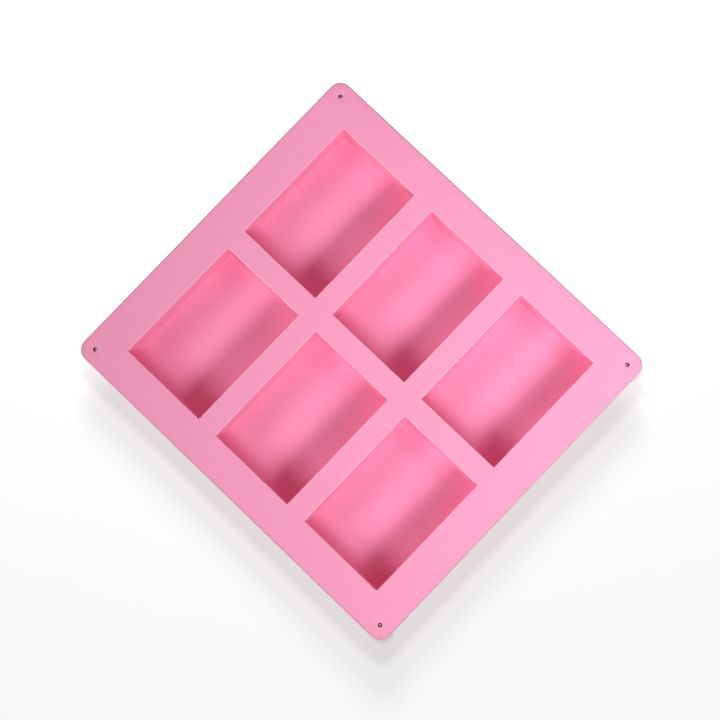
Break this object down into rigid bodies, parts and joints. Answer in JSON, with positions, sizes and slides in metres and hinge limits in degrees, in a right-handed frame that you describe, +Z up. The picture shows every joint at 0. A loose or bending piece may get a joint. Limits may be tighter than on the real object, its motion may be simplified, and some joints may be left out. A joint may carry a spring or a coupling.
{
  "type": "soap bar mould",
  "caption": "Flat rectangular silicone mould with a grid of sharp-cornered rectangular cavities for casting soap bars, and a small hanging hole near each corner.",
  "frame": {"origin": "on the surface that the mould stands on, under the middle of the deck", "axes": "+Z up out of the cavity mouths, +X along the three columns, +Y along the two rows and the length of each cavity"},
  "size_m": [0.236, 0.2134, 0.025],
  "materials": {
    "silicone": "satin pink silicone"
  },
  "bodies": {
    "root": {"top_deck": "silicone", "cavity_tub_r1_c1": "silicone", "cavity_tub_r1_c2": "silicone", "cavity_tub_r1_c3": "silicone", "cavity_tub_r2_c1": "silicone", "cavity_tub_r2_c2": "silicone", "cavity_tub_r2_c3": "silicone", "hanging_boss_front_left": "silicone", "hanging_boss_front_right": "silicone", "hanging_boss_back_left": "silicone", "hanging_boss_back_right": "silicone"}
  },
  "joints": []
}
